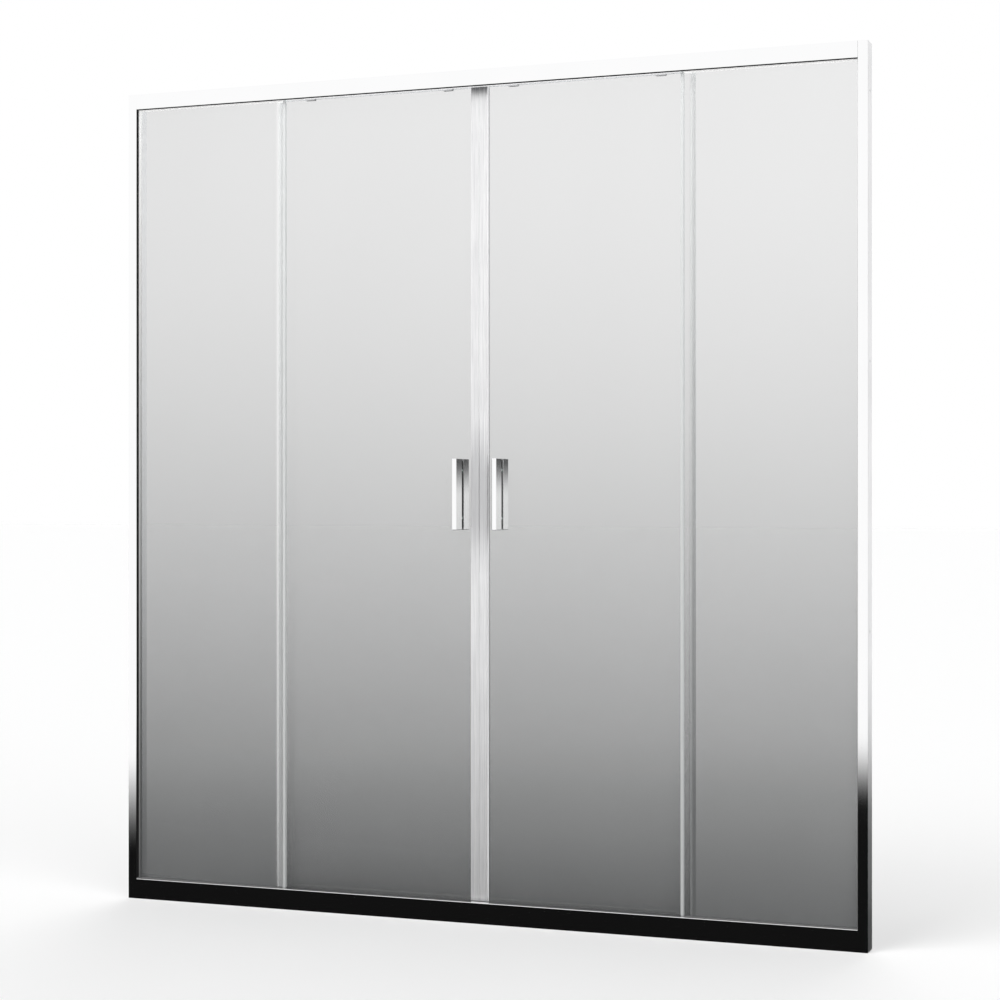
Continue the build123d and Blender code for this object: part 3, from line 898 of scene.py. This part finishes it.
class CrossHeadScrew(Grower):
    """Screw with a domed head, a cross recess and a plain shank."""

    arm_length: float = 1.1
    arm_width: float = 0.26
    arm_height: float = 1.2
    shank_sides: int = 20
    shank_root: float = 0.2
    seed: int = 7

    def __init__(self) -> None:
        """Name the tree and its sizes."""
        super().__init__("cross_head_screw", ("Head radius", "Head height", "Shank radius", "Shank length"))

    def build(self) -> None:
        """Cut the cross in a dome and add the shank."""
        radius, height = self.size("Head radius"), self.size("Head height")
        dome = self.dome(radius, height)
        arms = []
        for wide, narrow in ((self.arm_length, self.arm_width), (self.arm_width, self.arm_length)):
            values = {"Size": self.vector(radius * wide, radius * narrow, height * self.arm_height)}
            arm = self.node("GeometryNodeMeshCube", None, values).outputs[0]
            arms.append(self.moved(arm, 0.0, 0.0, height))
        head = self.cut(dome, [self.joined(arms)])
        root = height * self.shank_root
        shank = self.rod(self.size("Shank radius"), -self.size("Shank length"), root, self.shank_sides)
        self.finish(self.joined([head, shank]), self.seed)


class SocketScrew(Grower):
    """Set screw with a hexagon socket."""

    sides: int = 28
    rim: float = 0.8
    skirt: float = 1.8
    sleeve: float = 1.2
    sleeve_drop: float = 0.35
    sleeve_length: float = 2.0
    key_sides: int = 6
    seed: int = 11

    def __init__(self) -> None:
        """Name the tree and its sizes."""
        super().__init__("socket_screw", ("Radius", "Length", "Key radius", "Key depth"))

    def build(self) -> None:
        """Cut the hexagon in the end of a rod whose rim a cone has chamfered."""
        radius, length, depth = self.size("Radius"), self.size("Length"), self.size("Key depth")
        body = self.rod(radius, -length, 0.0)
        ends = {"Radius Top": radius * self.rim, "Radius Bottom": radius * self.skirt}
        values = {"Vertices": self.sides, "Depth": radius, **ends}
        cone = self.moved(self.node("GeometryNodeMeshCone", None, values).outputs[0], 0.0, 0.0, -radius)
        low, high = length * -self.sleeve_length, radius * -self.sleeve_drop
        sleeve = self.rod(radius * self.sleeve, low, high)
        body = self.joined([body, self.joined([cone, sleeve])], "INTERSECT")
        key = self.rod(self.size("Key radius"), -depth, depth, self.key_sides)
        self.finish(self.cut(body, [key]), self.seed)


class SnapCap(Grower):
    """Domed hollow cap that snaps over a screw."""

    crown: float = 2.1
    sides: int = 48
    rings: int = 32
    roof: float = 1.6
    room_sides: int = 40

    def __init__(self) -> None:
        """Name the tree and its sizes."""
        super().__init__("snap_cap", ("Radius", "Height", "Wall"))

    def build(self) -> None:
        """Hollow a dome from below."""
        radius, height, wall = self.size("Radius"), self.size("Height"), self.size("Wall")
        dome = self.dome(radius, height)
        room = self.rod(radius - wall, -wall, height - wall * self.roof, self.room_sides)
        self.finish(self.cut(dome, [room]))


class BallBearing(Grower):
    """Open ball bearing: two rings, and balls between them."""

    sides: int = 40
    ring: float = 0.3
    balls: int = 9
    ball: float = 0.21
    ball_sides: int = 12
    ball_rings: int = 8
    cage_inside: float = 0.38
    cage_outside: float = 0.62
    cage_width: float = 0.35

    def __init__(self) -> None:
        """Name the tree and its sizes."""
        super().__init__("ball_bearing", ("Bore", "Outside", "Width"))

    def band(self, inside: Term, outside: Term, width: Term) -> Socket:
        """Flat ring about Z."""
        solid = self.rod(outside, width * -0.5, width * 0.5)
        return self.cut(solid, [self.rod(inside, -width, width)])

    def build(self) -> None:
        """Set the balls on a circle between the rings."""
        bore, outside, width = self.size("Bore"), self.size("Outside"), self.size("Width")
        gap = outside - bore
        inner = self.band(bore, bore + gap * self.ring, width)
        outer = self.band(outside - gap * self.ring, outside, width)
        cage_bore, cage_edge = bore + gap * self.cage_inside, bore + gap * self.cage_outside
        cage = self.band(cage_bore, cage_edge, width * self.cage_width)
        values = {"Vertices": self.balls, "Radius": (bore + outside) * 0.5}
        circle = self.node("GeometryNodeMeshCircle", None, values).outputs[0]
        values = {"Segments": self.ball_sides, "Rings": self.ball_rings, "Radius": gap * self.ball}
        ball = self.node("GeometryNodeMeshUVSphere", None, values).outputs[0]
        values = {"Points": circle, "Instance": ball}
        balls = self.node("GeometryNodeInstanceOnPoints", None, values).outputs[0]
        together = self.node("GeometryNodeJoinGeometry", None, {0: [inner, outer, cage, balls]})
        self.finish(together.outputs[0])


def extruded(
    name: str, outlines: list[list[tuple[float, float]]], low: float, high: float
) -> bpy.types.Object:
    """Upright solids from flat outlines.

    Args:
        name: Name of the new piece.
        outlines: Corners of each outline on X and Y, anticlockwise seen from above.
        low: Height of the lower ends.
        high: Height of the upper ends.

    Returns:
        The piece.
    """
    points, faces = [], []
    for outline in outlines:
        start, count = len(points), len(outline)
        points += [(x, y, z) for z in (low, high) for x, y in outline]
        ring = range(count)
        faces.append([start + corner for corner in reversed(ring)])
        faces.append([start + count + corner for corner in ring])
        for corner in ring:
            after = (corner + 1) % count
            faces.append([start + corner, start + after, start + count + after, start + count + corner])
    mesh = bpy.data.meshes.new(name)
    mesh.from_pydata(points, [], faces)
    log.info("%s: %d solids", name, len(outlines))
    return placed(name, mesh)


def settle(piece: bpy.types.Object, body: str, slot: str, *nodes: str) -> None:
    """Put a new piece on its body, in the place of the nodes that it stands for.

    Args:
        piece: The new piece.
        body: The body that carries it.
        slot: The record's material slot.
        nodes: The nodes that it replaces.
    """
    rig.ride(piece, body)
    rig.slot(piece, slot)
    if nodes:
        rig.replaces(piece, *nodes)


@dataclass
class OuterFrame:
    """Head, sill and jambs with the screws and caps that hold them together."""

    wardrobe: Wardrobe
    screw_tree: CrossHeadScrew
    cap_tree: SnapCap
    half_width: float = 0.9
    height: float = 1.95
    depth: float = 0.05
    wall: float = 0.002
    jamb_face: float = 0.022
    port_offset: float = 0.003
    door_line: float = 0.039
    sill_base: float = 0.002
    screw_head: float = 0.0028
    screw_head_height: float = 0.0024
    screw_radius: float = 0.002
    screw_length: float = 0.016
    jamb_screw_inset: float = 0.0125
    jamb_screw_pitch: float = 0.7
    jamb_screw_head: float = 0.0036
    jamb_screw_head_height: float = 0.0018
    jamb_screw_radius: float = 0.0019
    jamb_screw_length: float = 0.008
    cap_radius: float = 0.0052
    cap_height: float = 0.0028
    cap_wall: float = 0.0008
    cap_shift: float = 0.0008

    def y(self, depth: float) -> float:
        """Place along Y at a depth behind the front face."""
        return depth - self.depth / 2

    def port_places(self) -> list[tuple[float, float]]:
        """Places of the screws in each jamb.

        Returns:
            Depth and height of each screw.
        """
        near = self.wall + self.port_offset
        far = self.depth - self.wall - self.port_offset
        high = self.height - self.wall - self.port_offset
        low = self.sill_base + self.port_offset
        return [(near, high), (far, high), (near, low), (self.door_line, low)]

    def jamb_places(self, shift: float = 0.0) -> list[Seat]:
        """Place and aim of the screws from each jamb to its wall profile.

        Args:
            shift: How far the places move towards the wall.

        Returns:
            The places and aims.
        """
        inset = self.half_width - self.jamb_screw_inset + shift
        heights = [self.height / 2 + step * self.jamb_screw_pitch for step in (-1, 0, 1)]
        face = self.y(self.depth)
        return [((side.x(inset), face, height), (0.0, 1.0, 0.0)) for side in Side for height in heights]

    def frame_screws(self) -> None:
        """Set the screws that join the rails to the jambs."""
        web = self.half_width - self.jamb_face + self.wall
        places = [
            ((side.x(web), self.y(depth), height), (side.x(1.0), 0.0, 0.0))
            for side in Side
            for depth, height in self.port_places()
        ]
        sizes = (self.screw_head, self.screw_head_height, self.screw_radius, self.screw_length)
        piece = self.screw_tree.grow("rail_screws", places, sizes, self.wardrobe["stainless_steel"])
        settle(piece, "frame", "stainless_steel", "frame_screws")

    def jamb_screws(self) -> None:
        """Set the screws that fix the jambs to the wall profiles."""
        places = self.jamb_places()
        head = (self.jamb_screw_head, self.jamb_screw_head_height)
        sizes = (*head, self.jamb_screw_radius, self.jamb_screw_length)
        piece = self.screw_tree.grow("wall_profile_screws", places, sizes, self.wardrobe["stainless_steel"])
        settle(piece, "frame", "stainless_steel", "jamb_screws")

    def caps(self) -> None:
        """Snap the caps over the jambs' screws."""
        places = self.jamb_places(self.cap_shift)
        sizes = (self.cap_radius, self.cap_height, self.cap_wall)
        piece = self.cap_tree.grow("screw_covers", places, sizes, self.wardrobe["cap_chrome"])
        settle(piece, "frame", "bright_chrome_cap", "jamb_screw_caps")

    def dress(self) -> None:
        """Give the frame's own nodes their finishes."""
        for node in ("head_rail", "sill_rail"):
            self.wardrobe.dress(node, "rail_chrome")
        self.wardrobe.dress("head_filler", "filler_satin")
        self.wardrobe.dress("sill_filler", "dark_gasket")
        for side in Side:
            self.wardrobe.dress(f"jamb_{side.word}", "jamb_chrome")
            self.wardrobe.dress(f"wall_profile_{side.word}", "satin_aluminium")
        for node in ("travel_stops", "bottom_guides"):
            self.wardrobe.dress(node, "grey_nylon")

    def make(self) -> None:
        """Make and dress the whole frame."""
        self.dress()
        self.frame_screws()
        self.jamb_screws()
        self.caps()


@dataclass
class FixedPanes:
    """The two fixed panes with their gaskets and edge strips."""

    wardrobe: Wardrobe

    def make(self) -> None:
        """Dress the panes."""
        for side in Side:
            self.wardrobe.dress(f"fixed_glass_{side.word}", "fixed_pane_glass")
            self.wardrobe.dress(f"glazing_gasket_{side.word}", "white_gasket")
            self.wardrobe.dress(f"edge_strip_{side.word}", "milky_strip")
        self.wardrobe.dress("edge_strip_caps", "milky_strip")


@dataclass
class SlidingDoor:
    """One door: glass, closing stile, handle, hangers and wheels."""

    side: Side
    wardrobe: Wardrobe
    screw_tree: SocketScrew
    bearing_tree: BallBearing
    outer_hanger: float = 0.4304
    inner_hanger: float = 0.0802
    axle_height: float = 1.93565
    wheel_line: float = 0.0045
    axle_radius: float = 0.00255
    bearing_radius: float = 0.005
    bearing_width: float = 0.004
    screw_spacing: float = 0.014
    screw_height: float = 1.9165
    screw_face: float = 0.0205
    screw_radius: float = 0.002
    screw_length: float = 0.0034
    key_radius: float = 0.0011
    key_depth: float = 0.0015
    stile_back: float = 0.0197
    wedge_reach: float = 0.0021
    wedge_depth: float = 0.0014
    wedge_steps: int = 5
    glass_front: float = 0.011
    glass_back: float = 0.017
    door_bottom: float = 0.046
    stile_top: float = 1.915

    def hangers(self) -> dict[str, float]:
        """Place along X of each hanger, by its name."""
        return {"outer": self.side.x(self.outer_hanger), "inner": self.side.x(self.inner_hanger)}

    def dress(self) -> None:
        """Give the door's own nodes their finishes."""
        finishes = {
            "door_glass": "door_pane_glass",
            "closing_stile": "stile_aluminium",
            "magnet_strip": "magnet_strip",
            "stile_foot": "grey_nylon",
            "trailing_seal": "milky_seal",
            "handle_outer": "handle_chrome",
            "handle_inner": "handle_chrome",
            "handle_gaskets": "dark_gasket",
            "handle_bolts": "stainless_steel",
            "handle_bushes": "white_nylon",
            "hanger_axles": "stainless_steel",
            "hanger_outer": "hanger_steel",
            "hanger_inner": "hanger_steel",
            "wheel_tyre_outer": "white_nylon",
            "wheel_tyre_inner": "white_nylon",
        }
        for node, finish in finishes.items():
            self.wardrobe.dress(f"{node}_{self.side.word}", finish)

    def clamp_screws(self) -> None:
        """Set the screws that clamp the hangers on the glass."""
        places = [
            ((x + step * self.screw_spacing / 2, self.screw_face, self.screw_height), (0.0, 1.0, 0.0))
            for x in self.hangers().values()
            for step in (-1, 1)
        ]
        sizes = (self.screw_radius, self.screw_length, self.key_radius, self.key_depth)
        name = f"clamp_screws_{self.side.word}"
        piece = self.screw_tree.grow(name, places, sizes, self.wardrobe["stainless_steel"])
        settle(piece, f"{self.side.word}_door", "stainless_steel", f"hanger_screws_{self.side.word}")

    def bearings(self) -> None:
        """Set a bearing in each wheel."""
        sizes = (self.axle_radius, self.bearing_radius, self.bearing_width)
        for hanger, x in self.hangers().items():
            places = [((x, self.wheel_line, self.axle_height), (0.0, 1.0, 0.0))]
            name = f"ball_bearing_{hanger}_{self.side.word}"
            piece = self.bearing_tree.grow(name, places, sizes, self.wardrobe["bearing_steel"])
            body = f"{self.side.word}_{hanger}_wheel"
            settle(piece, body, "bearing_steel", f"wheel_bearing_{hanger}_{self.side.word}")

    def wedges(self) -> None:
        """Press the soft wedges between the glass and the mouth of the stile's pocket."""
        outlines = []
        for face, outwards in ((self.glass_front, -1.0), (self.glass_back, 1.0)):
            outline = [(self.side.x(self.stile_back), face)]
            for step in range(self.wedge_steps + 1):
                turn = step / self.wedge_steps * math.pi / 2
                reach = self.stile_back + self.wedge_reach * math.cos(turn)
                outline.append((self.side.x(reach), face + outwards * self.wedge_depth * math.sin(turn)))
            outlines.append(outline if self.side.value * outwards > 0 else outline[::-1])
        piece = extruded(f"glass_wedges_{self.side.word}", outlines, self.door_bottom, self.stile_top)
        piece.data.materials.append(self.wardrobe["stile_wedge"])
        settle(piece, f"{self.side.word}_door", "white_gasket")

    def make(self) -> None:
        """Make and dress the whole door."""
        self.dress()
        self.clamp_screws()
        self.bearings()
        self.wedges()


@dataclass(frozen=True)
class Lamp:
    """A wide, soft and distant lamp: the direction its light travels in, and its strength."""

    name: str
    course: Point
    power: float


@dataclass
class Studio:
    """Pale floor, white surroundings, soft lamps, a card for the handles, and the camera."""

    floor_reach: float = 60.0
    floor_drop: float = 0.0004
    floor_grey: Colour = (0.8, 0.8, 0.8)
    floor_lift: float = 0.165
    pool: Colour = (0.006, 0.006, 0.006)
    pool_middle: Point = (0.9, 0.0, 0.0)
    pool_inner: float = 2.2
    pool_outer: float = 4.2
    ambient: float = 0.45
    card_low: Point = (0.2, 1.0, 0.7)
    card_high: Point = (0.62, 1.0, 1.3)
    card_below: Colour = (1.25, 1.25, 1.25)
    card_above: Colour = (0.08, 0.08, 0.08)
    card_change: tuple[float, float] = (0.97, 1.08)
    lamps: tuple[Lamp, ...] = (
        Lamp("key", (0.5, 0.75, -0.8), 1.4),
        Lamp("fill", (-0.8, 0.55, -0.5), 0.8),
        Lamp("back", (0.1, -0.8, -0.6), 0.9),
    )
    lamp_width: float = 40.0
    lens: float = 76.33
    sensor: float = 36.0
    shift: float = -0.0036
    camera_place: Point = (1.74, -4.54, 0.975)
    camera_tilt: float = 90.0
    camera_turn: float = 20.38

    def plane(self, name: str, corners: list[Point], material: Material) -> bpy.types.Object:
        """One flat stage piece.

        Args:
            name: Name of the piece.
            corners: Its four corners.
            material: Its material.

        Returns:
            The piece.
        """
        mesh = bpy.data.meshes.new(name)
        mesh.from_pydata(corners, [], [(0, 1, 2, 3)])
        mesh.materials.append(material)
        piece = placed(name, mesh)
        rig.stage(piece)
        return piece

    def glow(self, surface: Surface, colour: Any, strength: float = 1.0) -> Socket:
        """Even glow of one colour, or of a colour from nodes."""
        colour = (*colour, 1.0) if isinstance(colour, tuple) else colour
        return surface.node("ShaderNodeEmission", None, {"Color": colour, "Strength": strength}).outputs[0]

    def floor(self) -> None:
        """Lay the floor: white with the object's shadow, and a dark pool that only polish mirrors."""
        surface = Surface("pale_floor")
        values = {0: surface.places["Object"], 1: self.pool_middle}
        offset = surface.node("ShaderNodeVectorMath", {"operation": "DISTANCE"}, values)
        bright = surface.ease(surface.term(offset.outputs["Value"]), self.pool_inner, self.pool_outer)
        mirrored = self.glow(surface, surface.blend(bright, self.pool, WHITE))
        matt = surface.node("ShaderNodeBsdfDiffuse", None, {"Color": (*self.floor_grey, 1.0)}).outputs[0]
        lift = self.glow(surface, WHITE, self.floor_lift)
        lifted = surface.node("ShaderNodeAddShader", None, {0: matt, 1: lift}).outputs[0]
        ray = surface.node("ShaderNodeLightPath").outputs
        seen = surface.either(ray["Is Camera Ray"], matt, lifted)
        material = surface.close(surface.either(ray["Is Glossy Ray"], seen, mirrored))
        reach = self.floor_reach
        corners = [(x * reach, y * reach, -self.floor_drop) for x, y in ((-1, -1), (1, -1), (1, 1), (-1, 1))]
        self.plane("floor", corners, material)

    def card(self) -> None:
        """Hang an upright card that only polished surfaces see, for the handles to mirror."""
        surface = Surface("card_for_handles")
        share = surface.ease(surface.axis("Object", 2), *self.card_change)
        grey = surface.blend(share, self.card_below, self.card_above)
        material = surface.close(self.glow(surface, grey))
        (left, y, bottom), (right, y, top) = self.card_low, self.card_high
        corners = [(left, y, bottom), (right, y, bottom), (right, y, top), (left, y, top)]
        piece = self.plane("card_for_handles", corners, material)
        piece.visible_camera = piece.visible_diffuse = False
        piece.visible_shadow = piece.visible_transmission = False

    def surroundings(self) -> None:
        """White world for what the camera, metal and glass see, and a plain soft light from it."""
        world = bpy.data.worlds.new("studio")
        world.use_nodes = True
        tree = Tree(world.node_tree)
        tree.tree.nodes.clear()
        ray = tree.node("ShaderNodeLightPath").outputs
        kinds = [tree.term(ray[f"Is {kind} Ray"]) for kind in ("Camera", "Glossy", "Transmission")]
        seen = (kinds[0] + kinds[1] + kinds[2]).within()
        strength = self.ambient + seen * (1.0 - self.ambient)
        back = tree.node("ShaderNodeBackground", None, {"Color": (*WHITE, 1.0), "Strength": strength})
        tree.node("ShaderNodeOutputWorld", None, {"Surface": back.outputs[0]})
        bpy.context.scene.world = world

    def light(self, lamp: Lamp) -> None:
        """Set up a lamp that polished surfaces don't mirror.

        Args:
            lamp: The lamp.
        """
        sun = bpy.data.lights.new(lamp.name, "SUN")
        sun.angle = math.radians(self.lamp_width)
        sun.energy = lamp.power
        piece = placed(lamp.name, sun)
        piece.rotation_euler = Vector(lamp.course).to_track_quat("-Z", "Y").to_euler()
        piece.visible_glossy = False

    def camera(self) -> None:
        """Set the camera at the photograph's place and angle."""
        data = bpy.data.cameras.new("camera")
        data.lens = self.lens
        data.sensor_width = self.sensor
        data.shift_y = self.shift
        camera = placed("camera", data)
        camera.location = self.camera_place
        camera.rotation_euler = (math.radians(self.camera_tilt), 0.0, math.radians(self.camera_turn))
        bpy.context.scene.camera = camera

    def make(self) -> None:
        """Set up the whole studio."""
        self.floor()
        self.surroundings()
        self.card()
        for lamp in self.lamps:
            self.light(lamp)
        self.camera()
        bpy.context.scene.view_settings.view_transform = "Standard"
        log.info("studio is set up")


def write_sizes() -> None:
    """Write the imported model's box and the dressed model's box."""
    boxes = {"cad": cad_box, "visual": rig.bounds()}
    plain = {name: [list(corner) for corner in box] for name, box in boxes.items()}
    with open("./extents.json", "w") as file:
        json.dump(plain, file)
    log.info("boxes: %s", plain)


def main() -> None:
    """Build the studio and dress the object."""
    Studio().make()
    wardrobe = Wardrobe(FINISHES)
    OuterFrame(wardrobe, CrossHeadScrew(), SnapCap()).make()
    FixedPanes(wardrobe).make()
    screw_tree, bearing_tree = SocketScrew(), BallBearing()
    for side in Side:
        SlidingDoor(side, wardrobe, screw_tree, bearing_tree).make()
    write_sizes()


if __name__ == "__main__":
    main()
